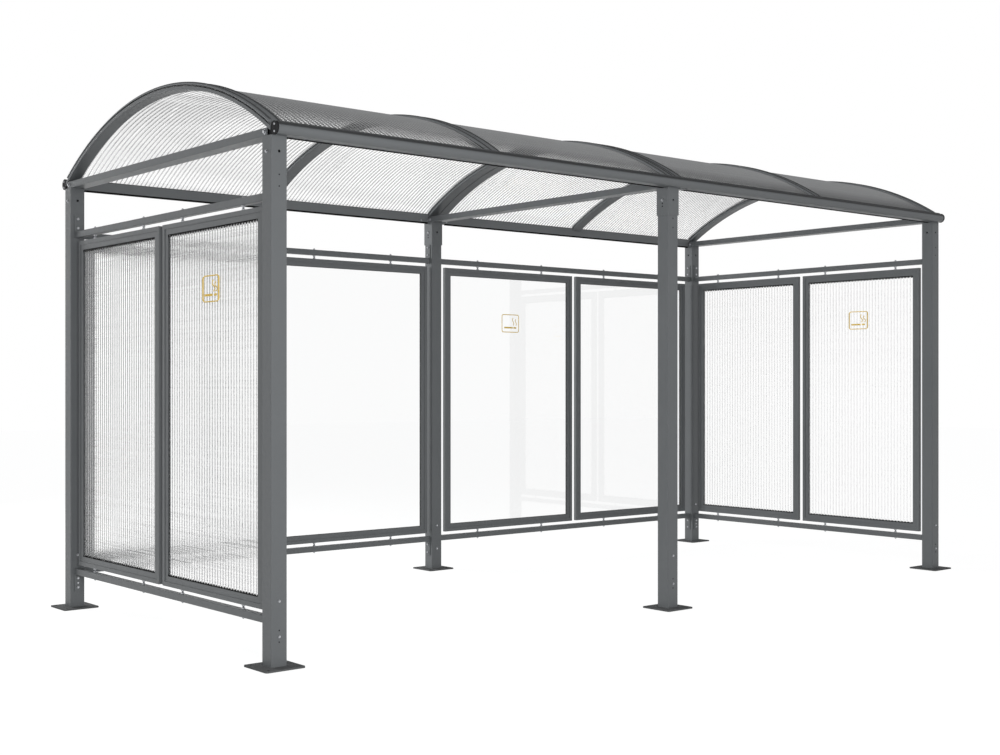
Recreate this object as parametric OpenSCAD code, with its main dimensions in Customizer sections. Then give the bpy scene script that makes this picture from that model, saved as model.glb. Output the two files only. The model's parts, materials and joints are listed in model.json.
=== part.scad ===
// Open-front shelter with a vaulted roof: steel posts and rails, framed clear panels,
// and a corrugated clear vault clamped between curved ribs and cover strips.
// Millimetres. X runs along the length, Y to the back wall, Z up from the ground.
// The origin is on the ground in the middle of the plan.

/* [Plan] */
// Distance between the centres of the end posts
length_c = 5085; // [4600:5:5600]
// Distance between the centres of the front and back posts
depth_c = 2150; // [2050:5:2250]
// How far the middle posts stand to the left of the roof joint
mid_offset = 32; // [0:1:40]

/* [Posts] */
// Side of the square post tube
post_w = 80; // [70:1:90]
// Wall of the post tube
post_wall = 3; // [2:0.5:5]
// Height of the post tops above the ground
post_top = 2333; // [2250:1:2450]
// Side of the square base plate
plate_w = 200; // [180:5:240]
// Thickness of the base plate
plate_t = 8; // [6:1:15]
// Corner radius of the base plate
plate_r = 12; // [5:1:24]
// Distance between anchor holes along each side of a base plate
anchor_pitch = 150; // [130:1:155]
// Diameter of the anchor holes
anchor_d = 14; // [10:1:18]
// Height of the sleeve round the top of a middle post
sleeve_h = 153; // [100:1:220]
// Wall of that sleeve
sleeve_wall = 3; // [2:0.5:5]

/* [Beams and gutters] */
// Height of a tie beam
tie_h = 36; // [25:1:36]
// Wall of a tie beam
tie_wall = 2.5; // [2:0.5:4]
// Distance from the post centres out to the gutter's inner face
gutter_in = 4; // [0:1:10]
// Width of the flat bottom of the gutter
gutter_flat = 53; // [45:1:60]
// Height of the gutter's round nose
gutter_nose = 56; // [50:1:60]
// Height of the gutter's inner wall
gutter_back = 53; // [45:1:54]
// Wall of the gutter
gutter_wall = 3; // [2:0.5:4]
// Width of the lip that returns inwards at the top of the nose
gutter_lip = 8; // [4:1:14]
// Thickness of a gutter end cap
cap_t = 3; // [2:0.5:5]
// Height of the flat part of an end cap
cap_h = 36; // [20:1:37]
// Radius of the round boss on an end cap
boss_r = 30; // [29:0.5:32]
// Thickness of an end cap through its boss
boss_t = 8; // [5:0.5:10]

/* [Roof] */
// Height of the crown of the roof over its cover strips
crown = 2717; // [2700:1:2740]
// Radius of the roof over its cover strips
vault_r = 2045; // [2030:1:2060]
// Width of a rib at the end of a roof module
end_rib_w = 68; // [50:1:80]
// Width of the flange that runs on past the gutter's end, on the outside of an end rib
end_flange = 9; // [6:1:15]
// Width of a rib in the middle of a roof module
bay_rib_w = 78; // [60:1:90]
// Radial depth of a rib
rib_depth = 16; // [12:1:16]
// Wall of a rib
rib_wall = 2.5; // [2:0.5:4]
// Thickness of a cover strip
cover_t = 10; // [6:1:10]
// Gap between the two roof modules at the middle
joint_gap = 4; // [2:1:10]
// Length of the plate under the joint of two gutters
splice_l = 56; // [40:1:80]
// Thickness of that plate
splice_t = 4; // [3:1:6]
// Overall depth of the corrugation
wave_h = 8; // [6:0.5:8]
// Pitch of the corrugation
wave_pitch = 25.5; // [20:0.5:40]
// Thickness of the corrugated sheet
sheet_t = 1.5; // [1:0.1:2]

/* [Walls] */
// Side of the square rail tube
rail_w = 35; // [30:1:40]
// Wall of the rail tube
rail_wall = 2; // [1.5:0.5:4]
// Underside of the bottom rails
rail_low = 187; // [150:1:220]
// Underside of the top rails
rail_high = 2056; // [1950:1:2080]
// How far a rail's end plate reaches beyond the rail
tab_l = 91; // [70:1:100]
// Width of a rail's end plate
tab_w = 40; // [38:1:60]
// Thickness of a rail's end plate
tab_t = 5; // [4:1:8]
// Distance between the two bolts of an end plate
tab_pitch = 51; // [40:1:55]
// Gap between a panel frame and its rails
panel_gap = 22; // [15:1:30]
// Width of a back panel
back_panel_w = 1175; // [1000:5:1190]
// Width of an end panel
end_panel_w = 975; // [850:5:1000]
// Gap between two panels in one bay
panel_space = 40; // [20:1:60]
// Face width of a panel frame
frame_w = 50; // [40:1:60]
// Width of the outer band of that face
band_w = 22; // [15:1:30]
// Depth of the frame's outer band
frame_d = 24; // [20:1:30]
// Depth of the frame's inner bead
bead_d = 17; // [14:0.5:18]
// How far a pane reaches into its frame
pane_bite = 12; // [8:1:16]
// Thickness of a flat pane
pane_t = 6; // [4:0.5:8]
// Distance between the studs of a panel
stud_pitch = 590; // [300:5:700]
// Diameter of a stud
stud_d = 10; // [8:1:12]

/* [Hidden] */
$fn = 48;
corner_facets = 24;
vault_facets = 360;
wave_steps = 8;

paint = [0.36, 0.38, 0.39];
dark_plastic = [0.06, 0.06, 0.07];
clear_sheet = [0.86, 0.90, 0.92, 0.35];
zinc = [0.72, 0.73, 0.75];

eps = 0.5;
post_x = [-length_c / 2, -mid_offset, length_c / 2];
post_y = [-depth_c / 2, depth_c / 2];
roof_end = length_c / 2 + post_w / 2;

post_r = 5;
rail_r = 3;
post_hole_d = 13;
tab_hole_d = 9;
top_bolt_z = post_top - 69;
bolt_heights = [140, 295, top_bolt_z];

gutter_face = depth_c / 2 + gutter_in;
nose_r = gutter_nose / 2;
sheet_reach = gutter_face + 26;
cover_reach = gutter_face + 14;
flange_reach = gutter_face + gutter_flat;
boss_gap = 1;
gutter_end = roof_end - end_flange - cap_t;

vault_z = crown - vault_r;
sheet_top_r = vault_r - cover_t;
rib_top_r = sheet_top_r - wave_h;
rib_low_r = rib_top_r - rib_depth;
sheet_mid_r = rib_top_r + wave_h / 2;

module_start = joint_gap / 2;
bay_x = (roof_end + module_start) / 2;
sheet_recess = 6;
sheet_space = 6;
sheet_in = module_start + sheet_recess;
sheet_mid = bay_x - sheet_space / 2;
sheet_out = roof_end - sheet_recess;
cover_inset = 2;

panel_low = rail_low + rail_w + panel_gap;
panel_high = rail_high - panel_gap;
panel_h = panel_high - panel_low;
end_panel_y = (end_panel_w + panel_space) / 2;

function bay_centre(bay) = (post_x[bay] + post_x[bay + 1]) / 2;
function bay_clear(bay) = post_x[bay + 1] - post_x[bay] - post_w;
function wave_offset(x) = (wave_h - sheet_t) / 2 * sin(360 * x / wave_pitch);
function wave_edge(w, n, side) =
    [for (i = [0:n]) [w * i / n, wave_offset(w * i / n) + side * sheet_t / 2]];
function reversed(list) = [for (i = [len(list) - 1:-1:0]) list[i]];
function wave_points(w) =
    let (n = round(w / wave_pitch * wave_steps))
    concat(wave_edge(w, n, 1), reversed(wave_edge(w, n, -1)));
function back_panel_x(bay, side) = bay_centre(bay) + side * (back_panel_w + panel_space) / 2;

// Rectangle with true round corners, centred
module round_rect(w, h, r) {
    square([w - 2 * r, h], center = true);
    square([w, h - 2 * r], center = true);
    for (sx = [-1, 1], sy = [-1, 1])
        translate([sx * (w / 2 - r), sy * (h / 2 - r)])
            circle(r, $fn = corner_facets);
}

// Cross-section of a rolled rectangular tube, centred
module tube_section(w, h, wall, r) {
    difference() {
        round_rect(w, h, r);
        round_rect(w - 2 * wall, h - 2 * wall, r - wall / 2);
    }
}

// Lays an upright extrusion along X, with its section's X to Y and its Y to Z
module along_x() {
    rotate([90, 0, 90])
        children();
}

// Lays an upright extrusion along Y, with its section's X to -X and its Y to Z
module along_y() {
    rotate([90, 0, 180])
        children();
}

// Posts

module post(x, y) {
    color(paint)
        translate([x, y, 0])
            difference() {
                translate([0, 0, plate_t])
                    linear_extrude(post_top - plate_t)
                        tube_section(post_w, post_w, post_wall, post_r);
                for (z = bolt_heights)
                    translate([0, 0, z])
                        rotate([90, 0, 0])
                            cylinder(d = post_hole_d, h = post_w / 2 + eps);
                translate([0, 0, top_bolt_z])
                    rotate([0, -90, 0])
                        cylinder(d = post_hole_d, h = post_w / 2 + eps);
            }
}

module base_plates() {
    hole = anchor_pitch / 2;
    color(paint)
        for (x = post_x, y = post_y)
            translate([x, y, 0])
                difference() {
                    linear_extrude(plate_t)
                        round_rect(plate_w, plate_w, plate_r);
                    for (sx = [-1, 1], sy = [-1, 1])
                        translate([sx * hole, sy * hole, -eps])
                            cylinder(d = anchor_d, h = plate_t + 2 * eps);
                }
}

module middle_post_sleeves() {
    color(paint)
        for (y = post_y)
            translate([post_x[1], y, 0])
                difference() {
                    translate([0, 0, post_top - sleeve_h])
                        linear_extrude(sleeve_h)
                            difference() {
                                square(post_w + 2 * sleeve_wall, center = true);
                                square(post_w, center = true);
                            }
                    for (turn = [[90, 0, 0], [0, -90, 0]])
                        translate([0, 0, top_bolt_z])
                            rotate(turn)
                                cylinder(d = post_hole_d, h = post_w / 2 + sleeve_wall + eps);
                }
}

// Beams and gutters

module tie_beam(x) {
    color(paint)
        translate([x, -gutter_face, post_top + tie_h / 2])
            along_y()
                linear_extrude(2 * gutter_face)
                    tube_section(post_w, tie_h, tie_wall, tie_wall);
}

// Outer shape of the gutter: X outwards from its inner face, Y up from its bottom
module gutter_outline(inset) {
    translate([gutter_flat, nose_r])
        circle(nose_r - inset);
    translate([inset, inset])
        square([gutter_flat - inset, gutter_nose - 2 * inset]);
}

module gutter_section() {
    difference() {
        gutter_outline(0);
        gutter_outline(gutter_wall);
        translate([gutter_wall, gutter_nose / 2])
            square([gutter_flat - gutter_lip - gutter_wall, gutter_nose]);
    }
    square([gutter_wall, gutter_back]);
}

// A gutter length from x0 to x1 along the front (side -1) or the back (side 1)
module gutter(side, x0, x1) {
    color(paint)
        mirror([0, side < 0 ? 1 : 0, 0])
            translate([x0, gutter_face, post_top])
                along_x()
                    linear_extrude(x1 - x0)
                        gutter_section();
}

module gutter_end_caps() {
    color(dark_plastic)
        for (sx = [0, 1], sy = [0, 1])
            mirror([sx, 0, 0])
                mirror([0, sy, 0])
                    translate([gutter_end, gutter_face, post_top])
                        along_x() {
                            cube([gutter_flat, cap_h, cap_t]);
                            translate([gutter_flat, nose_r, 0])
                                cylinder(r = boss_r, h = boss_t);
                        }
}

// The plates under the joints of the gutters, to the right of the middle posts
module gutter_splices() {
    start = post_x[1] + post_w / 2 + sleeve_wall;
    color(paint)
        for (sy = [0, 1])
            mirror([0, sy, 0])
                translate([start, gutter_face, post_top - splice_t])
                    cube([splice_l, gutter_flat, splice_t]);
}

// Roof

// Sweeps a section about the vault's axis: its X is the radius, its Y runs along the length
module vault_sweep(reach, r) {
    half = asin(reach / r);
    translate([0, 0, vault_z])
        rotate([0, 90, 0])
            rotate([0, 0, 180 - half])
                rotate_extrude(angle = 2 * half, $fn = vault_facets)
                    children();
}

// A hollow curved rib from x0 to x1, cut off upright at the gutters' inner faces
module rib(x0, x1) {
    w = x1 - x0;
    color(paint)
        intersection() {
            vault_sweep(gutter_face + rib_depth, rib_low_r)
                translate([(rib_low_r + rib_top_r) / 2, (x0 + x1) / 2])
                    tube_section(rib_depth, w, rib_wall, rib_wall);
            translate([x0 - eps, -gutter_face, post_top])
                cube([w + 2 * eps, 2 * gutter_face, crown - post_top]);
        }
}

// The flange on the outside of the left end rib, which runs down to the bosses of the end caps
module rib_flange() {
    color(paint)
        difference() {
            intersection() {
                vault_sweep(flange_reach, rib_low_r)
                    translate([rib_low_r, -roof_end])
                        square([rib_depth, end_flange]);
                translate([-roof_end - eps, -flange_reach, post_top])
                    cube([end_flange + 2 * eps, 2 * flange_reach, crown - post_top]);
            }
            for (side = [-1, 1])
                translate([-roof_end - eps, side * flange_reach, post_top + nose_r])
                    rotate([0, 90, 0])
                        cylinder(r = boss_r + boss_gap, h = end_flange + 2 * eps);
        }
}

// The rib at the left (side -1) or right (side 1) end of the roof
module end_rib(side) {
    mirror([side > 0 ? 1 : 0, 0, 0]) {
        rib(end_flange - roof_end, end_rib_w - roof_end);
        rib_flange();
    }
}

// The end ribs of the two roof modules, side by side
module middle_ribs() {
    rib(-module_start - end_rib_w, -module_start);
    rib(module_start, module_start + end_rib_w);
}

// A cover strip with sloping shoulders over the rib from x0 to x1
module cover_strip(x0, x1) {
    slope = cover_t / 2;
    vault_sweep(cover_reach, vault_r)
        polygon([
            [sheet_top_r, x0],
            [sheet_top_r + slope, x0],
            [vault_r, x0 + slope],
            [vault_r, x1 - slope],
            [sheet_top_r + slope, x1],
            [sheet_top_r, x1]
        ]);
}

module roof_cover_strips() {
    color(paint)
        for (side = [0, 1])
            mirror([side, 0, 0]) {
                cover_strip(roof_end - end_rib_w, roof_end);
                cover_strip(bay_x - bay_rib_w / 2 + cover_inset, bay_x + bay_rib_w / 2 - cover_inset);
                cover_strip(module_start, module_start + end_rib_w);
            }
}

// A corrugated roof sheet from x0 to x1, its flutes running round the vault
module roof_sheet(x0, x1) {
    color(clear_sheet)
        vault_sweep(sheet_reach, sheet_mid_r)
            polygon([for (p = wave_points(x1 - x0)) [sheet_mid_r + p[1], x0 + p[0]]]);
}

// Walls

// A rail of a given length along X, centred, with end plates that reach up (side 1) or down (side -1)
module rail(len, side) {
    tab_h = rail_w + tab_l;
    difference() {
        union() {
            translate([-len / 2, 0, 0])
                along_x()
                    linear_extrude(len)
                        tube_section(rail_w, rail_w, rail_wall, rail_r);
            for (end = [-1, 1])
                translate([end * (len - tab_t) / 2, 0, side * tab_l / 2])
                    cube([tab_t, tab_w, tab_h], center = true);
        }
        for (end = [-1, 1], i = [-1, 1])
            translate([end * len / 2, 0, side * (rail_w + tab_l + i * tab_pitch) / 2])
                rotate([0, 90, 0])
                    cylinder(d = tab_hole_d, h = 4 * tab_t, center = true);
    }
}

// The top and bottom rail of one wall
module rail_pair(len) {
    color(paint) {
        translate([0, 0, rail_low + rail_w / 2])
            rail(len, -1);
        translate([0, 0, rail_high + rail_w / 2])
            rail(len, 1);
    }
}

module back_rails(bay) {
    translate([bay_centre(bay), post_y[1], 0])
        rail_pair(bay_clear(bay));
}

module end_rails(x) {
    translate([x, 0, 0])
        rotate([0, 0, 90])
            rail_pair(depth_c - post_w);
}

// Upright slab in the XZ plane, centred on the plane
module slab(w, h, t) {
    rotate([90, 0, 0])
        translate([0, 0, -t / 2])
            linear_extrude(t)
                square([w, h], center = true);
}

// A panel frame in the XZ plane, with a groove of the given width for its pane
module panel_frame(w, groove) {
    inner_w = w - 2 * frame_w;
    inner_h = panel_h - 2 * frame_w;
    color(paint)
        translate([0, 0, (panel_low + panel_high) / 2])
            difference() {
                union() {
                    difference() {
                        slab(w, panel_h, frame_d);
                        slab(w - 2 * band_w, panel_h - 2 * band_w, frame_d + eps);
                    }
                    slab(w - band_w, panel_h - band_w, bead_d);
                }
                slab(inner_w, inner_h, frame_d + eps);
                slab(inner_w + 2 * pane_bite, inner_h + 2 * pane_bite, groove);
            }
}

// A flat pane that fills the groove of its frame
module flat_pane(w) {
    color(clear_sheet)
        translate([0, 0, (panel_low + panel_high) / 2])
            slab(w - 2 * frame_w + 2 * pane_bite, panel_h - 2 * frame_w + 2 * pane_bite, pane_t);
}

// A pane of upright corrugations that fills the groove of its frame
module wave_pane(w) {
    pane_w = w - 2 * frame_w + 2 * pane_bite;
    pane_low = panel_low + frame_w - pane_bite;
    color(clear_sheet)
        translate([-pane_w / 2, 0, pane_low])
            linear_extrude(panel_h - 2 * frame_w + 2 * pane_bite)
                polygon(wave_points(pane_w));
}

module back_frame(bay, side) {
    translate([back_panel_x(bay, side), post_y[1], 0])
        panel_frame(back_panel_w, pane_t);
}

module back_pane(bay, side) {
    translate([back_panel_x(bay, side), post_y[1], 0])
        flat_pane(back_panel_w);
}

module end_frame(x, side) {
    translate([x, side * end_panel_y, 0])
        rotate([0, 0, 90])
            panel_frame(end_panel_w, wave_h);
}

module end_pane(x, side) {
    translate([x, side * end_panel_y, 0])
        rotate([0, 0, 90])
            wave_pane(end_panel_w);
}

// The four studs of one panel in the XZ plane
module panel_stud_set() {
    for (s = [-1, 1], z = [rail_low + rail_w, panel_high])
        translate([s * stud_pitch / 2, 0, z])
            cylinder(d = stud_d, h = panel_gap);
}

module panel_studs() {
    color(zinc) {
        for (bay = [0, 1], side = [-1, 1])
            translate([back_panel_x(bay, side), post_y[1], 0])
                panel_stud_set();
        for (x = [post_x[0], post_x[2]], side = [-1, 1])
            translate([x, side * end_panel_y, 0])
                rotate([0, 0, 90])
                    panel_stud_set();
    }
}

post(post_x[0], post_y[0]);  // front_left_post
post(post_x[1], post_y[0]);  // front_middle_post
post(post_x[2], post_y[0]);  // front_right_post
post(post_x[0], post_y[1]);  // back_left_post
post(post_x[1], post_y[1]);  // back_middle_post
post(post_x[2], post_y[1]);  // back_right_post
base_plates();
middle_post_sleeves();
tie_beam(post_x[0]);  // left_tie_beam
tie_beam(post_x[1]);  // middle_tie_beam
tie_beam(post_x[2]);  // right_tie_beam
gutter(-1, -gutter_end, 0);  // front_left_gutter
gutter(-1, 0, gutter_end);  // front_right_gutter
gutter(1, -gutter_end, 0);  // back_left_gutter
gutter(1, 0, gutter_end);  // back_right_gutter
gutter_end_caps();
gutter_splices();
end_rib(-1);  // left_end_rib
rib(-bay_x - bay_rib_w / 2, bay_rib_w / 2 - bay_x);  // left_bay_rib
middle_ribs();
rib(bay_x - bay_rib_w / 2, bay_x + bay_rib_w / 2);  // right_bay_rib
end_rib(1);  // right_end_rib
roof_cover_strips();
roof_sheet(-sheet_out, -sheet_mid - sheet_space);  // roof_sheet_1
roof_sheet(-sheet_mid, -sheet_in);  // roof_sheet_2
roof_sheet(sheet_in, sheet_mid);  // roof_sheet_3
roof_sheet(sheet_mid + sheet_space, sheet_out);  // roof_sheet_4
back_rails(0);  // back_left_rails
back_rails(1);  // back_right_rails
end_rails(post_x[0]);  // left_end_rails
end_rails(post_x[2]);  // right_end_rails
back_frame(0, -1);  // back_frame_1
back_frame(0, 1);  // back_frame_2
back_frame(1, -1);  // back_frame_3
back_frame(1, 1);  // back_frame_4
end_frame(post_x[0], -1);  // left_frame_front
end_frame(post_x[0], 1);  // left_frame_back
end_frame(post_x[2], -1);  // right_frame_front
end_frame(post_x[2], 1);  // right_frame_back
back_pane(0, -1);  // back_pane_1
back_pane(0, 1);  // back_pane_2
back_pane(1, -1);  // back_pane_3
back_pane(1, 1);  // back_pane_4
end_pane(post_x[0], -1);  // left_pane_front
end_pane(post_x[0], 1);  // left_pane_back
end_pane(post_x[2], -1);  // right_pane_front
end_pane(post_x[2], 1);  // right_pane_back
panel_studs();
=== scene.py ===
"""Dresses the open-front vaulted shelter: paint, clear sheets, bolts, studs, seals and signs."""

import json
import math

import bmesh
import bpy
from mathutils import Matrix, Vector


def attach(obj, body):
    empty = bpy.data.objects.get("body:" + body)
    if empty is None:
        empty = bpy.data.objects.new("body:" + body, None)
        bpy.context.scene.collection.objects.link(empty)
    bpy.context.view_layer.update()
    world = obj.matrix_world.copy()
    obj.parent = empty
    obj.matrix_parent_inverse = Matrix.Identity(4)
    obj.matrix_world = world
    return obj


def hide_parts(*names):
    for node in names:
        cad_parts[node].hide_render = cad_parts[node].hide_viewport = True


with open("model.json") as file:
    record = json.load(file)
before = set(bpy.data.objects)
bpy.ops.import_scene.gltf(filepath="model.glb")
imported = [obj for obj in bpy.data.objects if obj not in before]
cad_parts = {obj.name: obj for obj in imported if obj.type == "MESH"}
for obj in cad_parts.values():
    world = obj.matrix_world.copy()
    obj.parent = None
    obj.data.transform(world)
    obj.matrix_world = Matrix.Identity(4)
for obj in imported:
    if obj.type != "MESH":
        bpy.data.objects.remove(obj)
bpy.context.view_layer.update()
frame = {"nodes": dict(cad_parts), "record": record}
nodes = frame["nodes"]

# Camera at the photograph's view

CAMERA_AT = (-5.7075, -6.389, 1.245)
CAMERA_YAW = math.radians(40)
IMAGE_W = 1000
HORIZON_DROP = 6.5
LENS_MM = 50
SENSOR_MM = 36

camera_data = bpy.data.cameras.new("camera")
camera_data.lens = LENS_MM
camera_data.sensor_width = SENSOR_MM
camera_data.shift_y = HORIZON_DROP / IMAGE_W
camera = bpy.data.objects.new("camera", camera_data)
bpy.context.scene.collection.objects.link(camera)
camera.location = CAMERA_AT
camera.rotation_euler = (math.radians(90), 0, -CAMERA_YAW)
bpy.context.scene.camera = camera
bpy.context.scene.view_settings.view_transform = "Standard"


# Node helpers

def new_material(name):
    mat = bpy.data.materials.new(name)
    mat.use_nodes = True
    tree = mat.node_tree
    return mat, tree, tree.nodes["Principled BSDF"]


def add(tree, kind, inputs=None, **settings):
    made = tree.nodes.new(kind)
    for key, value in settings.items():
        setattr(made, key, value)
    for key, value in (inputs or {}).items():
        made.inputs[key].default_value = value
    return made


def link(tree, source, target):
    tree.links.new(source, target)


def seen_share(tree):
    """1 for rays from the camera and for those that mirrors and glass send on."""
    path = add(tree, "ShaderNodeLightPath")
    total = path.outputs["Is Camera Ray"]
    for name in ("Is Glossy Ray", "Is Transmission Ray"):
        most = add(tree, "ShaderNodeMath", operation="MAXIMUM")
        link(tree, total, most.inputs[0])
        link(tree, path.outputs[name], most.inputs[1])
        total = most.outputs[0]
    return total


# Floor, world and lamps

FLOOR_SIZE = 60.0
FLOOR_MATT = 0.5
FLOOR_GLOW = 0.94
FLOOR_SHADE = 0.15
HORIZON_LIGHT = 0.60
CEILING_LIGHT = 0.30
LIGHT_COLOUR = (0.96, 0.98, 1.0, 1)
HORIZON_SEEN = 1.0
CEILING_SEEN = 0.16
SEEN_COLOUR = (1, 1, 1, 1)
CEILING_START = math.sin(math.radians(16))
CEILING_FULL = math.sin(math.radians(32))
LAMP_SIZE = (2.4, 2.2)


def ceiling_share(tree):
    """0 from the ground up to low on the horizon, 1 overhead, for a darker studio ceiling."""
    place = add(tree, "ShaderNodeTexCoord")
    split = add(tree, "ShaderNodeSeparateXYZ")
    link(tree, place.outputs["Generated"], split.inputs[0])
    made = add(tree, "ShaderNodeMapRange", {1: CEILING_START, 2: CEILING_FULL, 3: 0, 4: 1})
    made.interpolation_type = "SMOOTHSTEP"
    link(tree, split.outputs["Z"], made.inputs[0])
    return made.outputs[0]


def make_world():
    world = bpy.data.worlds.new("studio")
    bpy.context.scene.world = world
    world.use_nodes = True
    tree = world.node_tree
    share = ceiling_share(tree)
    sides = []
    for low, high, colour in (
        (HORIZON_LIGHT, CEILING_LIGHT, LIGHT_COLOUR),
        (HORIZON_SEEN, CEILING_SEEN, SEEN_COLOUR),
    ):
        shade = add(tree, "ShaderNodeMapRange", {1: 0, 2: 1, 3: low, 4: high})
        link(tree, share, shade.inputs[0])
        room = add(tree, "ShaderNodeBackground", {"Color": colour})
        link(tree, shade.outputs[0], room.inputs["Strength"])
        sides.append(room.outputs[0])
    mix = add(tree, "ShaderNodeMixShader")
    link(tree, seen_share(tree), mix.inputs[0])
    link(tree, sides[0], mix.inputs[1])
    link(tree, sides[1], mix.inputs[2])
    link(tree, mix.outputs[0], tree.nodes["World Output"].inputs["Surface"])


def make_floor():
    mesh = bpy.data.meshes.new("floor")
    half = FLOOR_SIZE / 2
    corners = [(-half, -half, 0), (half, -half, 0), (half, half, 0), (-half, half, 0)]
    mesh.from_pydata(corners, [], [(0, 1, 2, 3)])
    floor = bpy.data.objects.new("floor", mesh)
    bpy.context.scene.collection.objects.link(floor)
    mat = bpy.data.materials.new("floor_white")
    mat.use_nodes = True
    tree = mat.node_tree
    tree.nodes.clear()
    out = add(tree, "ShaderNodeOutputMaterial")
    matt = add(tree, "ShaderNodeBsdfDiffuse", {"Color": (FLOOR_MATT, FLOOR_MATT, FLOOR_MATT, 1)})
    shaded = add(tree, "ShaderNodeBsdfDiffuse", {"Color": (FLOOR_SHADE, FLOOR_SHADE, FLOOR_SHADE, 1)})
    glow = add(tree, "ShaderNodeEmission", {"Strength": FLOOR_GLOW})
    lit = add(tree, "ShaderNodeAddShader")
    link(tree, shaded.outputs[0], lit.inputs[0])
    link(tree, glow.outputs[0], lit.inputs[1])
    mix = add(tree, "ShaderNodeMixShader")
    link(tree, seen_share(tree), mix.inputs[0])
    link(tree, matt.outputs[0], mix.inputs[1])
    link(tree, lit.outputs[0], mix.inputs[2])
    link(tree, mix.outputs[0], out.inputs["Surface"])
    mesh.materials.append(mat)


def area_lamp(name, at, target, watts):
    data = bpy.data.lights.new(name, "AREA")
    data.shape = "RECTANGLE"
    data.size, data.size_y = LAMP_SIZE
    data.energy = watts
    lamp = bpy.data.objects.new(name, data)
    bpy.context.scene.collection.objects.link(lamp)
    lamp.visible_camera = False
    lamp.visible_glossy = False
    lamp.visible_transmission = False
    lamp.location = at
    lamp.rotation_euler = (Vector(target) - Vector(at)).to_track_quat("-Z", "Y").to_euler()


make_world()
make_floor()
area_lamp("front_key", at=(-4.0, -6.2, 1.9), target=(-1.0, -1.0, 1.2), watts=175)
area_lamp("back_fill", at=(-3.2, 5.6, 2.6), target=(0.6, 0, 1.2), watts=290)


# Material helpers and paint

def surface_noise(tree, scale, detail=4.0):
    place = add(tree, "ShaderNodeTexCoord")
    noise = add(tree, "ShaderNodeTexNoise", {"Scale": scale, "Detail": detail})
    link(tree, place.outputs["Object"], noise.inputs["Vector"])
    return noise.outputs["Fac"]


def ramp(tree, source, low, high, start=0.3, end=0.7):
    """Maps start to low and end to high. Inputs 1 to 4 are From Min, From Max, To Min and To Max."""
    made = add(tree, "ShaderNodeMapRange", {1: start, 2: end, 3: low, 4: high})
    link(tree, source, made.inputs[0])
    return made.outputs[0]


def mix_colour(tree, share, first, second):
    """Mixes two colours. Inputs 6 and 7 of the Mix node are its colours, and output 2 their mix."""
    made = add(tree, "ShaderNodeMix", data_type="RGBA")
    made.inputs[6].default_value = (*first, 1)
    made.inputs[7].default_value = (*second, 1)
    link(tree, share, made.inputs[0])
    return made.outputs[2]


def bump(tree, principled, height, strength, distance):
    made = add(tree, "ShaderNodeBump", {"Strength": strength, "Distance": distance})
    link(tree, height, made.inputs["Height"])
    link(tree, made.outputs[0], principled.inputs["Normal"])


# Painted shade: the colour that darkens the faces that look up
TOP_SHADE_COLOUR = (0.050, 0.052, 0.053)
TOP_SHADE_START = 0.30
TOP_SHADE_FULL = 0.55


def painted_top_shade(tree, colour):
    """Darkens the faces that look up: painted shade on the tops."""
    face = add(tree, "ShaderNodeNewGeometry")
    split = add(tree, "ShaderNodeSeparateXYZ")
    link(tree, face.outputs["Normal"], split.inputs[0])
    share = ramp(tree, split.outputs["Z"], low=0, high=1, start=TOP_SHADE_START, end=TOP_SHADE_FULL)
    top_shaded = add(tree, "ShaderNodeMix", data_type="RGBA")
    top_shaded.inputs[7].default_value = (*TOP_SHADE_COLOUR, 1)
    link(tree, share, top_shaded.inputs[0])
    link(tree, colour, top_shaded.inputs[6])
    return top_shaded.outputs[2]


def paint_material(name, dark, light, rough, gloss=0.35, shaded_top=False):
    """Satin powder coat: fine orange peel and a slow drift of tone. Paint can also get painted shade on the
    faces that look up.
    """
    mat, tree, shader = new_material(name)
    drift = surface_noise(tree, scale=2.6)
    colour = mix_colour(tree, ramp(tree, drift, low=0, high=1), dark, light)
    link(tree, painted_top_shade(tree, colour) if shaded_top else colour, shader.inputs["Base Color"])
    grain = surface_noise(tree, scale=55, detail=2)
    link(tree, ramp(tree, grain, low=rough - 0.05, high=rough + 0.07), shader.inputs["Roughness"])
    peel = surface_noise(tree, scale=900, detail=2)
    bump(tree, shader, peel, strength=0.08, distance=0.0006)
    shader.inputs["Specular IOR Level"].default_value = gloss
    return mat


# Clear sheets

RIPPLES_PER_M = 1500
CLEAR_IOR = 1.49
CLEAR_DENSITY = 40
CLEAR_PASS = 0.97
EVEN_BLEND = 0.5
CLEAR_TINT = (0.92, 0.93, 0.93)
PANE_TINT = (0.86, 0.87, 0.87)
PANE_RIPPLE = 0.0005
# Painted reflection layer on the roof sheets, and its painted shade from valley to crest
LEAST_UP = 0.1
PAINTED_REFLECTION_MOST = 0.95
VAULT_Z = 0.672
FLUTE_LOW_R = 2.0285
FLUTE_TOP_R = 2.0350
VALLEY_SHADE = 0.05
CREST_SHADE = 1.52


def facing_ramp(tree, start, full, low, high, normal=None):
    """low where a face is seen squarely, high where it is seen edge-on."""
    weight = add(tree, "ShaderNodeLayerWeight", {"Blend": EVEN_BLEND})
    if normal:
        link(tree, normal, weight.inputs["Normal"])
    made = add(tree, "ShaderNodeMapRange", {1: start, 2: full, 3: low, 4: high})
    made.interpolation_type = "SMOOTHSTEP"
    link(tree, weight.outputs["Facing"], made.inputs[0])
    return made.outputs[0]


def painted_grazing_shade(tree, start, full, tint):
    """Darkens a sheet's colour where it is seen edge-on: a painted reflection of a dark surround."""
    share = facing_ramp(tree, start, full, low=1, high=tint)
    square = add(tree, "ShaderNodeMath", operation="MULTIPLY")
    link(tree, share, square.inputs[0])
    link(tree, share, square.inputs[1])
    return square.outputs[0]


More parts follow.
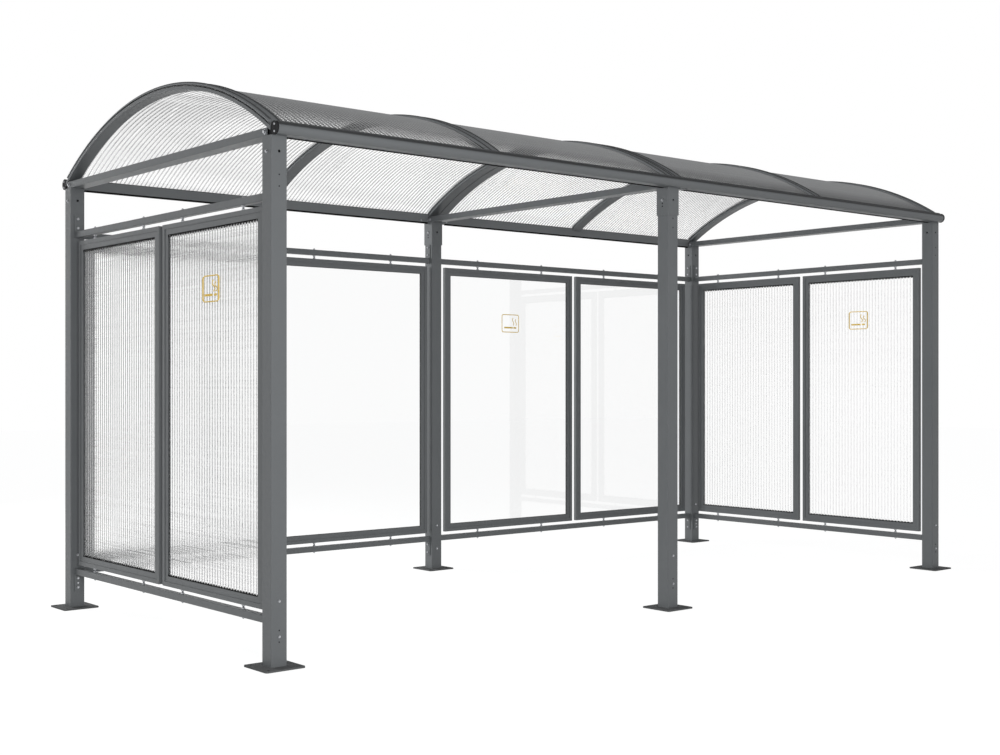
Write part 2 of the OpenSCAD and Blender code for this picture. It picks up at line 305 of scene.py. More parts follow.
def from_vault_axis(tree, face):
    """The way out from the vault's axis, which leaves the flutes out, and the distance from it."""
    level = add(tree, "ShaderNodeVectorMath", {1: (0, 1, 1), 2: (0, 0, -VAULT_Z)}, operation="MULTIPLY_ADD")
    link(tree, face.outputs["Position"], level.inputs[0])
    out = add(tree, "ShaderNodeVectorMath", operation="NORMALIZE")
    link(tree, level.outputs[0], out.inputs[0])
    radius = add(tree, "ShaderNodeVectorMath", operation="LENGTH")
    link(tree, level.outputs[0], radius.inputs[0])
    return out.outputs["Vector"], radius.outputs["Value"]


def painted_reflection_layer(tree, surface, flute_ramp, vault_ramp, shade_ramp):
    """Adds a matt grey layer to the faces that look up: a painted reflection of a dark surround.

    It closes up where the flutes, or the vault as a whole, are seen edge-on.
    It is darker low down and in the flutes' valleys, which is painted shade.
    """
    face = add(tree, "ShaderNodeNewGeometry")
    split = add(tree, "ShaderNodeSeparateXYZ")
    link(tree, face.outputs["Normal"], split.inputs[0])
    out, radius = from_vault_axis(tree, face)
    closed = add(tree, "ShaderNodeMath", operation="MAXIMUM")
    link(tree, facing_ramp(tree, *flute_ramp), closed.inputs[0])
    link(tree, facing_ramp(tree, *vault_ramp, out), closed.inputs[1])
    upward = add(tree, "ShaderNodeMath", {1: LEAST_UP}, operation="GREATER_THAN")
    link(tree, split.outputs["Z"], upward.inputs[0])
    amount = add(tree, "ShaderNodeMath", operation="MULTIPLY")
    link(tree, closed.outputs[0], amount.inputs[0])
    link(tree, upward.outputs[0], amount.inputs[1])
    place = add(tree, "ShaderNodeSeparateXYZ")
    link(tree, face.outputs["Position"], place.inputs[0])
    bottom, top, dark, light = shade_ramp
    shade = add(tree, "ShaderNodeMath", operation="MULTIPLY")
    by_height = ramp(tree, place.outputs["Z"], low=dark, high=light, start=bottom, end=top)
    link(tree, by_height, shade.inputs[0])
    by_flute = ramp(tree, radius, VALLEY_SHADE, CREST_SHADE, FLUTE_LOW_R, FLUTE_TOP_R)
    link(tree, by_flute, shade.inputs[1])
    painted_grey = add(tree, "ShaderNodeBsdfDiffuse")
    link(tree, shade.outputs[0], painted_grey.inputs["Color"])
    mix = add(tree, "ShaderNodeMixShader")
    link(tree, amount.outputs[0], mix.inputs[0])
    link(tree, surface, mix.inputs[1])
    link(tree, painted_grey.outputs[0], mix.inputs[2])
    return mix.outputs[0]


def level_ripples(tree, shader, depth):
    """Fine level ripples from drawing the sheet. They blur what stands behind it upwards and downwards."""
    place = add(tree, "ShaderNodeTexCoord")
    stretch = add(tree, "ShaderNodeMapping", {"Scale": (0, 0, RIPPLES_PER_M)})
    link(tree, place.outputs["Object"], stretch.inputs["Vector"])
    noise = add(tree, "ShaderNodeTexNoise", {"Scale": 1, "Detail": 0})
    link(tree, stretch.outputs[0], noise.inputs["Vector"])
    bump(tree, shader, noise.outputs["Fac"], strength=1, distance=depth)


def clear_material(name, tint, rough, grazing=None, film=None, ripple=0):
    """Clear plastic sheet that lets the lamps' light through.

    grazing holds the start, full and tint of the painted grazing shade, and film the three ramps of the
    painted reflection layer.
    """
    mat, tree, shader = new_material(name)
    shader.inputs["Base Color"].default_value = (1, 1, 1, 1)
    if grazing:
        link(tree, painted_grazing_shade(tree, *grazing), shader.inputs["Base Color"])
    shader.inputs["Transmission Weight"].default_value = 1
    shader.inputs["IOR"].default_value = CLEAR_IOR
    haze = surface_noise(tree, scale=30, detail=3)
    link(tree, ramp(tree, haze, low=rough * 0.6, high=rough * 1.5), shader.inputs["Roughness"])
    inside = add(tree, "ShaderNodeVolumeAbsorption", {"Color": (*tint, 1), "Density": CLEAR_DENSITY})
    link(tree, inside.outputs[0], tree.nodes["Material Output"].inputs["Volume"])
    if ripple:
        level_ripples(tree, shader, ripple)
    surface = painted_reflection_layer(tree, shader.outputs[0], *film) if film else shader.outputs[0]
    path = add(tree, "ShaderNodeLightPath")
    open_way = add(tree, "ShaderNodeBsdfTransparent", {"Color": (CLEAR_PASS, CLEAR_PASS, CLEAR_PASS, 1)})
    passed = add(tree, "ShaderNodeMath", operation="MAXIMUM")
    link(tree, path.outputs["Is Shadow Ray"], passed.inputs[0])
    link(tree, path.outputs["Is Diffuse Ray"], passed.inputs[1])
    mix = add(tree, "ShaderNodeMixShader")
    link(tree, passed.outputs[0], mix.inputs[0])
    link(tree, surface, mix.inputs[1])
    link(tree, open_way.outputs[0], mix.inputs[2])
    link(tree, mix.outputs[0], tree.nodes["Material Output"].inputs["Surface"])
    return mat


# Plastic and zinc

def plastic_material(name, dark, light, gloss=0.12):
    mat, tree, shader = new_material(name)
    cloud = surface_noise(tree, scale=40)
    link(tree, mix_colour(tree, cloud, dark, light), shader.inputs["Base Color"])
    link(tree, ramp(tree, cloud, low=0.42, high=0.6), shader.inputs["Roughness"])
    grain = surface_noise(tree, scale=1200, detail=2)
    bump(tree, shader, grain, strength=0.1, distance=0.0004)
    shader.inputs["Specular IOR Level"].default_value = gloss
    return mat


def zinc_material(name, dark, light):
    mat, tree, shader = new_material(name)
    shader.inputs["Metallic"].default_value = 1
    spangle = surface_noise(tree, scale=260, detail=3)
    link(tree, mix_colour(tree, spangle, dark, light), shader.inputs["Base Color"])
    link(tree, ramp(tree, spangle, low=0.22, high=0.42), shader.inputs["Roughness"])
    bump(tree, shader, spangle, strength=0.1, distance=0.0003)
    return mat


# Materials of the part and of the added pieces

STEEL = paint_material("steel_paint", (0.148, 0.156, 0.161), (0.158, 0.166, 0.171), rough=0.40)
ALUMINIUM = paint_material("aluminium_paint", (0.150, 0.158, 0.163), (0.160, 0.168, 0.173), rough=0.38)
COVER = paint_material("cover_paint", (0.195, 0.203, 0.208), (0.210, 0.218, 0.223), rough=0.40)
GUTTER = paint_material(
    "gutter_paint", (0.155, 0.163, 0.168), (0.165, 0.173, 0.178), rough=0.40, shaded_top=True,
)
# The back gutters get a lighter copy of the gutter paint: painted light.
BACK_GUTTER_LIT_COPY = paint_material(
    "back_gutter_lit_paint", (0.185, 0.193, 0.198), (0.195, 0.203, 0.208), rough=0.40, shaded_top=True,
)
# Base plates: a rough, low-gloss copy of the steel paint, darker as painted shade on their tops.
PLATE_SHADED = paint_material(
    "plate_shaded_paint", (0.120, 0.122, 0.124), (0.138, 0.140, 0.142), rough=0.75, gloss=0.12,
)
BLACK = plastic_material("black_plastic", (0.012, 0.012, 0.013), (0.028, 0.028, 0.030))
RUBBER = plastic_material("seal_rubber", (0.006, 0.006, 0.006), (0.014, 0.014, 0.014), gloss=0.06)
GASKET_GREY = plastic_material("gasket_rubber", (0.080, 0.082, 0.084), (0.100, 0.102, 0.104))
ORANGE = plastic_material("sign_film", (0.96, 0.65, 0.14), (0.98, 0.71, 0.18))
# Painted reflection by facing: start, full, least and most. Its painted shade: lower and upper height, dark
# and light
FLUTE_REFLECTION = (0.43, 0.58, 0, PAINTED_REFLECTION_MOST)
VAULT_REFLECTION = (0.71, 0.82, 0, PAINTED_REFLECTION_MOST)
REFLECTION_SHADE_BY_HEIGHT = (2.39, 2.50, 0.17, 0.38)
CLEAR_ROOF = clear_material(
    "clear_roof_sheet", CLEAR_TINT, rough=0.02,
    grazing=(0.52, 0.94, 0.10), film=(FLUTE_REFLECTION, VAULT_REFLECTION, REFLECTION_SHADE_BY_HEIGHT),
)
CLEAR_END = clear_material(
    "clear_end_sheet", CLEAR_TINT, rough=0.015, grazing=(0.46, 0.92, 0.08), ripple=PANE_RIPPLE,
)
# The far end panes get a weaker copy of the painted grazing reflection.
CLEAR_FAR = clear_material(
    "clear_far_sheet", CLEAR_TINT, rough=0.015, grazing=(0.62, 0.98, 0.45), ripple=PANE_RIPPLE,
)
CLEAR_FLAT = clear_material("clear_pane", PANE_TINT, rough=0.01)
ZINC = zinc_material("zinc_steel", (0.36, 0.37, 0.39), (0.66, 0.67, 0.69))

BY_SLOT = {
    "steel_paint": STEEL,
    "aluminium_paint": ALUMINIUM,
    "black_plastic": BLACK,
    "clear_sheet": CLEAR_END,
    "clear_pane": CLEAR_FLAT,
    "zinc_steel": ZINC,
}
for part in frame["record"]["subparts"]:
    mesh = nodes[part["node"]].data
    mesh.materials.clear()
    mesh.materials.append(BY_SLOT[part["material_slot"]])
nodes["base_plates"].data.materials[0] = PLATE_SHADED
nodes["roof_cover_strips"].data.materials[0] = COVER
for side in ("left", "right"):
    nodes["front_%s_gutter" % side].data.materials[0] = GUTTER
    nodes["back_%s_gutter" % side].data.materials[0] = BACK_GUTTER_LIT_COPY
for place in ("front", "back"):
    nodes["right_pane_" + place].data.materials[0] = CLEAR_FAR
for number in range(1, 5):
    nodes["roof_sheet_%d" % number].data.materials[0] = CLEAR_ROOF

# Sizes repeated from the part, in metres

POST_X = {"left": -2.5425, "middle": -0.032, "right": 2.5425}
POST_Y = 1.075
POST_HALF = 0.040
SLEEVE = 0.003
POST_TOP = 2.333
TIE_MID_Z = POST_TOP + 0.018
TOP_BOLT_Z = 2.264
GUTTER_FACE = 1.079
CAP_FACE_X = 2.5785
NOSE_Y = GUTTER_FACE + 0.053
NOSE_Z = POST_TOP + 0.028
VAULT_R = 2.045
RIB_TOP_R = 2.027
RAIL_BOLT_Z = (0.116, 0.167, 2.111, 2.162)
LOW_RAIL_TOP = 0.222
FRAME_LOW = 0.244
FRAME_HIGH = 2.034
HIGH_RAIL_BOTTOM = 2.056
FRAME_W = 0.050
RAIL_W = 0.035
BACK_PANELS = (-1.89475, -0.67975, 0.64775, 1.86275)
BACK_PANEL_W = 1.175
END_PANELS = (-0.5075, 0.5075)
END_PANEL_W = 0.975
STUD_OFF = 0.295


# Mesh helpers

def facing(at, axis):
    """Places a form that is made along +Z at a point, with its +Z along axis."""
    turn = Vector(axis).to_track_quat("Z", "Y").to_matrix().to_4x4()
    return Matrix.Translation(Vector(at)) @ turn


def lathe(bm, profile, sides, place):
    """Revolves (radius, height) points about +Z. A radius of 0 closes that end."""
    rings = []
    for radius, height in profile:
        if radius == 0:
            rings.append([bm.verts.new(place @ Vector((0, 0, height)))])
            continue
        ring = []
        for i in range(sides):
            angle = 2 * math.pi * i / sides
            point = Vector((radius * math.cos(angle), radius * math.sin(angle), height))
            ring.append(bm.verts.new(place @ point))
        rings.append(ring)
    for low, high in zip(rings, rings[1:]):
        for i in range(sides):
            j = (i + 1) % sides
            if len(low) == 1:
                bm.faces.new((low[0], high[j], high[i]))
            elif len(high) == 1:
                bm.faces.new((low[i], low[j], high[0]))
            else:
                bm.faces.new((low[i], low[j], high[j], high[i]))


def sweep(bm, sections, closed=False):
    """Joins loops of points, one after the other, into a tube with flat ends, or into a closed ring."""
    loops = [[bm.verts.new(p) for p in loop] for loop in sections]
    following = loops[1:] + loops[:1] if closed else loops[1:]
    count = len(loops[0])
    for low, high in zip(loops, following):
        for i in range(count):
            j = (i + 1) % count
            bm.faces.new((low[i], low[j], high[j], high[i]))
    if not closed:
        bm.faces.new(list(reversed(loops[0])))
        bm.faces.new(loops[-1])


FORM_SHARP_DEG = 35
FASTENER_SHARP_DEG = 25


def piece(name, bm, material, sharp_deg=FORM_SHARP_DEG):
    """Makes a named piece of a mesh. Edges that turn by more than sharp_deg stay sharp."""
    bmesh.ops.recalc_face_normals(bm, faces=bm.faces)
    mesh = bpy.data.meshes.new(name)
    bm.to_mesh(mesh)
    bm.free()
    for face in mesh.polygons:
        face.use_smooth = True
    mesh.set_sharp_from_angle(angle=math.radians(sharp_deg))
    mesh.materials.append(material)
    made = bpy.data.objects.new(name, mesh)
    bpy.context.scene.collection.objects.link(made)
    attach(made, "root")
    return made


# Fastener forms: profiles with a radius and a height of 1

WASHER_FORM = ((0, 0), (1, 0), (1, 0.7), (0.94, 1), (0, 1))
HEX_FORM = ((0, 0), (1, 0), (1, 0.75), (0.86, 1), (0, 1))
DOME_FORM = (
    (0, 0), (1, 0), (1, 0.35), (0.9, 0.72), (0.65, 0.95),
    (0.42, 1), (0.36, 1), (0.30, 0.45), (0, 0.45),
)
THREAD_ROOT = 0.86
WASHER_SIDES = 28
HEX_SIDES = 6
DOME_SIDES = 20
ROD_SIDES = 14


def scaled(form, radius, height):
    return [(radius * r, height * h) for r, h in form]


def hex_head(bm, place, across, height, washer_r, washer_t=0.002):
    """A bolt head or nut with a chamfered top, on a washer."""
    lathe(bm, scaled(WASHER_FORM, washer_r, washer_t), WASHER_SIDES, place)
    on_washer = place @ Matrix.Translation((0, 0, washer_t))
    lathe(bm, scaled(HEX_FORM, across / math.sqrt(3), height), HEX_SIDES, on_washer)


def dome_head(bm, place, radius, height):
    """A pan head with a round drive recess."""
    lathe(bm, scaled(DOME_FORM, radius, height), DOME_SIDES, place)


def threaded_rod(bm, place, radius, length, pitch):
    """A rod with ridges all along it."""
    profile = [(0, 0)]
    turns = int(length / pitch)
    for i in range(turns):
        profile += [(radius * THREAD_ROOT, i * pitch), (radius, (i + 0.5) * pitch)]
    profile += [(radius * THREAD_ROOT, length), (0, length)]
    lathe(bm, profile, ROD_SIDES, place)


# Bolts through the ends of the tie beams

TIE_BOLT_Y = 1.060
TIE_BOLT = dict(across=0.015, height=0.0070, washer_r=0.0120)


def make_tie_bolts():
    bm = bmesh.new()
    for x in POST_X.values():
        for y in (-TIE_BOLT_Y, TIE_BOLT_Y):
            for side in (-1, 1):
                place = facing((x + side * POST_HALF, y, TIE_MID_Z), (side, 0, 0))
                hex_head(bm, place, **TIE_BOLT)
    piece("tie_bolts", bm, ZINC, FASTENER_SHARP_DEG)


# Bolts in the posts: near their tops and feet, and through the end plates of the rails

TOP_BOLT = dict(across=0.011, height=0.005, washer_r=0.0085)
FOOT_BOLT = dict(across=0.0095, height=0.004, washer_r=0.0068)
FOOT_BOLT_Z = (0.140, 0.295)
RAIL_BOLT = dict(across=0.010, height=0.005, washer_r=0.0072)
END_PLATE_T = 0.005


def make_post_bolts():
    bm = bmesh.new()
    left_face = POST_X["left"] - POST_HALF
    sleeve_face = POST_X["middle"] - POST_HALF - SLEEVE
    for y in (-POST_Y, POST_Y):
        for x in (left_face, sleeve_face):
            hex_head(bm, facing((x, y, TOP_BOLT_Z), (-1, 0, 0)), **TOP_BOLT)
    for x in POST_X.values():
        for y in (-POST_Y, POST_Y):
            for z in FOOT_BOLT_Z:
                hex_head(bm, facing((x, y - POST_HALF, z), (0, -1, 0)), **FOOT_BOLT)
    piece("post_bolts", bm, ZINC, FASTENER_SHARP_DEG)


def make_rail_bolts():
    bm = bmesh.new()
    inner = POST_Y - POST_HALF - END_PLATE_T
    for x in (POST_X["left"], POST_X["right"]):
        for y in (-inner, inner):
            for z in RAIL_BOLT_Z:
                hex_head(bm, facing((x, y, z), (0, -math.copysign(1, y), 0)), **RAIL_BOLT)
    for x, side in (("left", 1), ("middle", -1), ("middle", 1), ("right", -1)):
        at = POST_X[x] + side * (POST_HALF + END_PLATE_T)
        for z in RAIL_BOLT_Z:
            hex_head(bm, facing((at, POST_Y, z), (side, 0, 0)), **RAIL_BOLT)
    piece("rail_bolts", bm, ZINC, FASTENER_SHARP_DEG)


# Studs that hold the panel frames off the rails, with a nut at each end

STUD_R = 0.005
STUD_PITCH = 0.0015
STUD_NUT = dict(across=0.016, height=0.006, washer_r=0.010, washer_t=0.0012)
FAR_NUT = dict(across=0.013, height=0.005, washer_r=0.0085, washer_t=0.001)
ROD_END = dict(radius=0.004, length=0.003, pitch=0.001)
FAR_NUT_T = FAR_NUT["height"] + FAR_NUT["washer_t"]


def stud_places():
    places = [(x + s * STUD_OFF, POST_Y) for x in BACK_PANELS for s in (-1, 1)]
    for x in (POST_X["left"], POST_X["right"]):
        places += [(x, y + s * STUD_OFF) for y in END_PANELS for s in (-1, 1)]
    return places


def make_studs():
    bm = bmesh.new()
    for x, y in stud_places():
        for low, high in ((LOW_RAIL_TOP, FRAME_LOW), (FRAME_HIGH, HIGH_RAIL_BOTTOM)):
            upright = facing((x, y, low), (0, 0, 1))
            threaded_rod(bm, upright, radius=STUD_R, length=high - low, pitch=STUD_PITCH)
            hex_head(bm, upright, **STUD_NUT)
            hex_head(bm, facing((x, y, high), (0, 0, -1)), **STUD_NUT)
    studs = piece("threaded_studs", bm, ZINC, FASTENER_SHARP_DEG)
    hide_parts("panel_studs")


def make_stud_nuts():
    """Nuts and rod ends on the far sides of the rails that the studs pass through."""
    bm = bmesh.new()
    for x, y in stud_places():
        for z, up in ((LOW_RAIL_TOP - RAIL_W, -1), (HIGH_RAIL_BOTTOM + RAIL_W, 1)):
            hex_head(bm, facing((x, y, z), (0, 0, up)), **FAR_NUT)
            threaded_rod(bm, facing((x, y, z + up * FAR_NUT_T), (0, 0, up)), **ROD_END)
    piece("stud_nuts", bm, ZINC, FASTENER_SHARP_DEG)


# Screws in the gutters' end caps, at the gutter joint and along the cover strips

CAP_SCREW = dict(radius=0.006, height=0.004)
CAP_SCREW_Y = NOSE_Y + 0.004
CAP_SCREW_OFF = 0.016
JOINT_SCREW = dict(radius=0.0055, height=0.004)
JOINT_SCREW_X = (0.033, 0.084, -0.072, -0.130)
JOINT_SCREW_Z = 2.343
COVER_SCREW = dict(radius=0.0065, height=0.0030)


def make_screws():
    bm = bmesh.new()
    for side in (-1, 1):
        for y in (-1, 1):
            for z in (-CAP_SCREW_OFF, CAP_SCREW_OFF):
                at = (side * CAP_FACE_X, y * CAP_SCREW_Y, NOSE_Z + z)
                dome_head(bm, facing(at, (side, 0, 0)), **CAP_SCREW)
    for y in (-1, 1):
        for x in JOINT_SCREW_X:
            dome_head(bm, facing((x, y * GUTTER_FACE, JOINT_SCREW_Z), (0, -y, 0)), **JOINT_SCREW)
    piece("small_screws", bm, ZINC, FASTENER_SHARP_DEG)


COVER_X = (-2.5485, -1.29225, -0.036, 0.036, 1.29225, 2.5485)
COVER_SCREW_DEG = (-27, -9, 9, 27)


def make_cover_screws():
    """Painted screws that clamp the cover strips down on the ribs."""
    bm = bmesh.new()
    for x in COVER_X:
        for degrees in COVER_SCREW_DEG:
            angle = math.radians(degrees)
            out = Vector((0, math.sin(angle), math.cos(angle)))
            dome_head(bm, facing(Vector((x, 0, VAULT_Z)) + out * VAULT_R, out), **COVER_SCREW)
    piece("cover_screws", bm, ALUMINIUM, FASTENER_SHARP_DEG)


SLEEVE_PLUG = dict(radius=0.0045, height=0.0012)
SLEEVE_PLUG_Z = (2.229, 2.245)
POST_PLUG = dict(radius=0.0035, height=0.0012)


def make_plugs():
    """Small black plugs in the spare holes of the middle posts' sleeves and the front posts."""
    bm = bmesh.new()
    for y in (-POST_Y, POST_Y):
        for z in SLEEVE_PLUG_Z:
            at = (POST_X["middle"] - POST_HALF - SLEEVE, y, z)
            dome_head(bm, facing(at, (-1, 0, 0)), **SLEEVE_PLUG)
    for x in POST_X.values():
        for z in RAIL_BOLT_Z:
            dome_head(bm, facing((x, -POST_Y - POST_HALF, z), (0, -1, 0)), **POST_PLUG)
    piece("hole_plugs", bm, BLACK, FASTENER_SHARP_DEG)


ANCHOR = 0.075
PLATE_TOP = 0.008
CUP_RIM_Z = PLATE_TOP - 0.0008
CUP = (
    (0, 0.0005), (0.0068, 0.0005), (0.0068, CUP_RIM_Z),
    (0.0061, CUP_RIM_Z), (0.0055, 0.004), (0, 0.004),
)
CUP_SIDES = 24


def make_anchor_plugs():
    """Dark cups in the anchor holes of the base plates."""
    bm = bmesh.new()
    for x in POST_X.values():
        for y in (-POST_Y, POST_Y):
            for sx in (-ANCHOR, ANCHOR):
                for sy in (-ANCHOR, ANCHOR):
                    lathe(bm, CUP, CUP_SIDES, facing((x + sx, y + sy, 0), (0, 0, 1)))
    piece("anchor_plugs", bm, RUBBER)


# Seals: foam under the sheets' lower edges and strips under the gutters

SHEET_SPANS = ((-2.5145, -1.33125), (-1.25325, -0.070), (0.070, 1.25325), (1.33125, 2.5145))
FOAM_TOP_R = RIB_TOP_R - 0.0005
FOAM_LIP_R = RIB_TOP_R - 0.0015
FOAM_LOW_R = RIB_TOP_R - 0.0085
FOAM_INNER_Y = GUTTER_FACE - 0.001
FOAM_LIP_Y = GUTTER_FACE + 0.0032
FOAM_STEP_Y = GUTTER_FACE + 0.004
FOAM_OUTER_Y = GUTTER_FACE + 0.020
FOAM_SECTION = (
    (FOAM_TOP_R, FOAM_INNER_Y), (FOAM_TOP_R, FOAM_OUTER_Y), (FOAM_LOW_R, FOAM_OUTER_Y),
    (FOAM_LOW_R, FOAM_STEP_Y), (FOAM_LIP_R, FOAM_LIP_Y), (FOAM_LIP_R, FOAM_INNER_Y),
)
GUTTER_SPANS = ((-2.5015, -0.0755), (0.068, 2.5015))
SEAL_NEAR_Y = GUTTER_FACE + 0.001
SEAL_FAR_Y = GUTTER_FACE + 0.007
FRONT_SEAL_H = 0.005
BACK_SEAL_H = 0.011
SEAL_BEVEL = 0.002


def arc_point(x, radius, y):
    return Vector((x, y, VAULT_Z + math.sqrt(radius ** 2 - y ** 2)))


def make_sheet_seals():
    bm = bmesh.new()
    for y in (-1, 1):
        for span in SHEET_SPANS:
            sweep(bm, [[arc_point(x, radius, y * at) for radius, at in FOAM_SECTION] for x in span])
    piece("sheet_seals", bm, RUBBER)


def make_gutter_seals():
    bm = bmesh.new()
    for y, tall in ((-1, FRONT_SEAL_H), (1, BACK_SEAL_H)):
        near, far = y * SEAL_NEAR_Y, y * SEAL_FAR_Y
        low = POST_TOP - tall
        bevel = low + SEAL_BEVEL
        section = ((near, POST_TOP), (far, POST_TOP), (far, bevel), ((near + far) / 2, low), (near, bevel))
        for span in GUTTER_SPANS:
            sweep(bm, [[Vector((x, at, z)) for at, z in section] for x in span])
    piece("gutter_seals", bm, RUBBER)


# A dark strip along the gutters' rims, which is painted shade for the gap under the sheets' ends, and
# rubber lips along both edges of the cover strips

LIP_END_X = 2.560
# The rim strip's section: out from the gutter's face, and up from the posts' tops
RIM_SHADE_STRIP = (
    (0.046, 0.0562), (0.053, 0.0562), (0.058, 0.0558),
    (0.058, 0.0595), (0.053, 0.0620), (0.046, 0.0600),
)
# Half the width of the cover strip at each distance from the middle
COVER_HALF = {2.5485: 0.034, 1.29225: 0.037, 0.036: 0.034}
COVER_SLOPE = 0.006
COVER_LIP_W = 0.011
COVER_LIP_LOW_R = VAULT_R + 0.0003
COVER_LIP_TOP_R = VAULT_R + 0.0035
COVER_LIP_SLANT = 0.002
COVER_REACH = 1.088
ARC_STEPS = 64


# Painted shade: a dark grey strip on the gutters' rims where the gap under the sheets lies in shade.
def make_rim_shade_strips():
    bm = bmesh.new()
    for y in (-1, 1):
        sweep(bm, [
            [Vector((x, y * (GUTTER_FACE + out), POST_TOP + up)) for out, up in RIM_SHADE_STRIP]
            for x in (-LIP_END_X, LIP_END_X)
        ])
    piece("gutter_shade_strips", bm, GASKET_GREY)


def make_cover_lips():
    bm = bmesh.new()
    for x in COVER_X:
        for side in (-1, 1):
            far = x + side * (COVER_HALF[abs(x)] - COVER_SLOPE)
            near = far - side * COVER_LIP_W
            slant = side * COVER_LIP_SLANT
            outline = (
                (far, COVER_LIP_LOW_R), (far - slant, COVER_LIP_TOP_R),
                (near + slant, COVER_LIP_TOP_R), (near, COVER_LIP_LOW_R),
            )
            loops = []
            for i in range(ARC_STEPS + 1):
                y = COVER_REACH * (2 * i / ARC_STEPS - 1)
                out = Vector((0, y, math.sqrt(VAULT_R ** 2 - y ** 2))) / VAULT_R
                loops.append([Vector((across, 0, VAULT_Z)) + out * radius for across, radius in outline])
            sweep(bm, loops)
    piece("cover_lips", bm, GASKET_GREY)


# Gaskets round the flat panes. Section points: reach from the frame's edge, distance from mid-pane

GASKET = 0.0025
PANE_FACE = 0.003
GASKET_SECTION = (
    (0, PANE_FACE), (-GASKET, PANE_FACE), (-GASKET, PANE_FACE + 0.0015), (0, 0.0082),
)
CLEAR_LOW = FRAME_LOW + FRAME_W
CLEAR_HIGH = FRAME_HIGH - FRAME_W
CORNERS = ((-1, -1), (1, -1), (1, 1), (-1, 1))


def make_gaskets():
    """Thin rubber round both faces of each flat pane."""
    bm = bmesh.new()
    half = BACK_PANEL_W / 2 - FRAME_W
    for x in BACK_PANELS:
        for face in (-1, 1):
            loops = []
            for sx, sz in CORNERS:
                edge = CLEAR_HIGH if sz > 0 else CLEAR_LOW
                loops.append([
                    Vector((x + sx * (half + reach), POST_Y + face * deep, edge + sz * reach))
                    for reach, deep in GASKET_SECTION
                ])
            sweep(bm, loops, closed=True)
    piece("pane_gaskets", bm, GASKET_GREY)


# Toothed black strips that close the hollows of the corrugated panes at their upper and lower edges; their
# black stands in for the shade in the grooves where the panes meet the frames

WAVE_PITCH = 0.0255
WAVE_A = 0.00325
WAVE_SHEET = 0.00075
WAVE_START = END_PANEL_W / 2 - FRAME_W + 0.012
TOOTH_STEPS = 6
TOOTH_LOW = 0.0006
LOW_TOOTH = 0.0095
HIGH_TOOTH = 0.0140
FILLER_IN = 0.0041
FILLER_OUT = 0.0052


def pane_wave(across):
    """How far the middle of an end pane lies towards -X at a distance from the panel's centre."""
    return WAVE_A * math.sin(2 * math.pi * (across + WAVE_START) / WAVE_PITCH)


# Black teeth: painted shade for the shadowed grooves at the frames.
def make_shade_fillers():
    bm = bmesh.new()
    half = END_PANEL_W / 2 - FRAME_W
    count = int(2 * half / WAVE_PITCH) * TOOTH_STEPS
    for x in (POST_X["left"], POST_X["right"]):
        for y in END_PANELS:
            for face in (-1, 1):
                for edge, up, tall in ((CLEAR_LOW, 1, LOW_TOOTH), (CLEAR_HIGH, -1, HIGH_TOOTH)):
                    loops = []
                    for i in range(count + 1):
                        across = half * (2 * i / count - 1)
                        hollow = 0.5 + 0.5 * face * pane_wave(across) / WAVE_A
                        reach = up * (TOOTH_LOW + tall * hollow)
                        inner, outer = x + face * FILLER_IN, x + face * FILLER_OUT
                        tip = edge + reach
                        section = ((inner, edge), (outer, edge), (outer, tip), (inner, tip))
                        loops.append([Vector((deep, y + across, z)) for deep, z in section])
                    sweep(bm, loops)
    piece("pane_shade_fillers", bm, RUBBER)


# Generic smoking signs: strokes of film that follow their pane, with a across the sign and b up it

SIGN_W = 0.153
SIGN_H = 0.122
SIGN_R = 0.012
SIGN_LINE = 0.0055
SIGN_STEP = 0.003
CORNER_STEPS = 4
FILM_LOW = 0.0002
FILM_HIGH = 0.0008
WAVE_SHIFT = -0.0095
END_SIGN_Z = 1.695
BACK_SIGN_Z = 1.672
STICK_W = 0.011
STICK_B = -0.030
STICK_SPANS = ((-0.056, 0.022), (0.028, 0.054))
SMOKE_W = 0.0048
SMOKE_B = -0.014
SMOKE_SWAY = 0.006
SMOKE = ((0.0255, 0.054), (0.0510, 0.044))
SMOKE_STEPS = 12


def flat_place(x, z):
    """Puts sign points on the room side of a flat back pane."""
    return lambda a, b, lift: Vector((x + a, POST_Y - PANE_FACE - lift, z + b))


def wave_place(x, panel_y, z):
    """Puts sign points on the -X side of a corrugated end pane. The sign reads from that side."""

    def place(a, b, lift):
        across = -a - WAVE_SHIFT
        return Vector((x - pane_wave(across) - WAVE_SHEET - lift, panel_y + across, z + b))
    return place


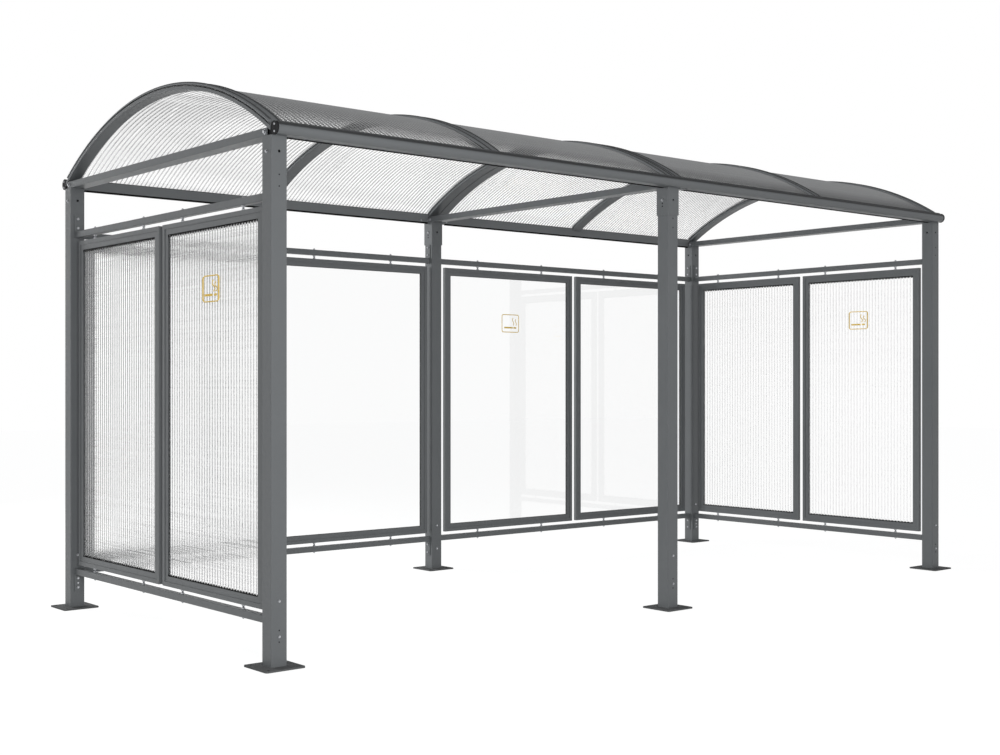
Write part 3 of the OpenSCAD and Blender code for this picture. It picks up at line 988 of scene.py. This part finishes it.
def stroke(bm, points, width, place, closed=False):
    """A ribbon of film along points in the sign's plane."""
    path = []
    following = points[1:] + points[:1] if closed else points[1:]
    for start, end in zip(points, following):
        steps = max(1, math.ceil(math.dist(start, end) / SIGN_STEP))
        path += [
            (start[0] + (end[0] - start[0]) * i / steps, start[1] + (end[1] - start[1]) * i / steps)
            for i in range(steps)
        ]
    if not closed:
        path.append(points[-1])
    loops = []
    last = len(path) - 1
    for i, (a, b) in enumerate(path):
        before = path[i - 1] if closed or i else path[i]
        after = path[(i + 1) % len(path)] if closed or i < last else path[i]
        run, rise = after[0] - before[0], after[1] - before[1]
        size = math.hypot(run, rise)
        da, db = -rise / size * width / 2, run / size * width / 2
        loops.append([
            place(a + da, b + db, FILM_LOW), place(a - da, b - db, FILM_LOW),
            place(a - da, b - db, FILM_HIGH), place(a + da, b + db, FILM_HIGH),
        ])
    sweep(bm, loops, closed)


def rounded_outline(w, h, r):
    points = []
    for quarter, (sx, sy) in enumerate(((1, 1), (-1, 1), (-1, -1), (1, -1))):
        for i in range(CORNER_STEPS + 1):
            angle = math.radians(90 * (quarter + i / CORNER_STEPS))
            points.append((sx * (w / 2 - r) + r * math.cos(angle), sy * (h / 2 - r) + r * math.sin(angle)))
    return points


def wisp(a, b, height, sway):
    """A wavy line of smoke."""
    return [
        (a + sway * math.sin(2 * math.pi * i / SMOKE_STEPS), b + height * i / SMOKE_STEPS)
        for i in range(SMOKE_STEPS + 1)
    ]


def make_signs():
    bm = bmesh.new()
    places = (
        wave_place(POST_X["left"], END_PANELS[0], END_SIGN_Z),
        wave_place(POST_X["right"], END_PANELS[0], END_SIGN_Z),
        flat_place(BACK_PANELS[2], BACK_SIGN_Z),
    )
    for place in places:
        stroke(bm, rounded_outline(SIGN_W, SIGN_H, SIGN_R), SIGN_LINE, place, closed=True)
        for start, end in STICK_SPANS:
            stroke(bm, [(start, STICK_B), (end, STICK_B)], STICK_W, place)
        for at, height in SMOKE:
            stroke(bm, wisp(at, SMOKE_B, height, SMOKE_SWAY), SMOKE_W, place)
    piece("signs", bm, ORANGE)


make_tie_bolts()
make_post_bolts()
make_rail_bolts()
make_studs()
make_stud_nuts()
make_screws()
make_cover_screws()
make_plugs()
make_anchor_plugs()
make_sheet_seals()
make_gutter_seals()
make_rim_shade_strips()
make_cover_lips()
make_gaskets()
make_shade_fillers()
make_signs()
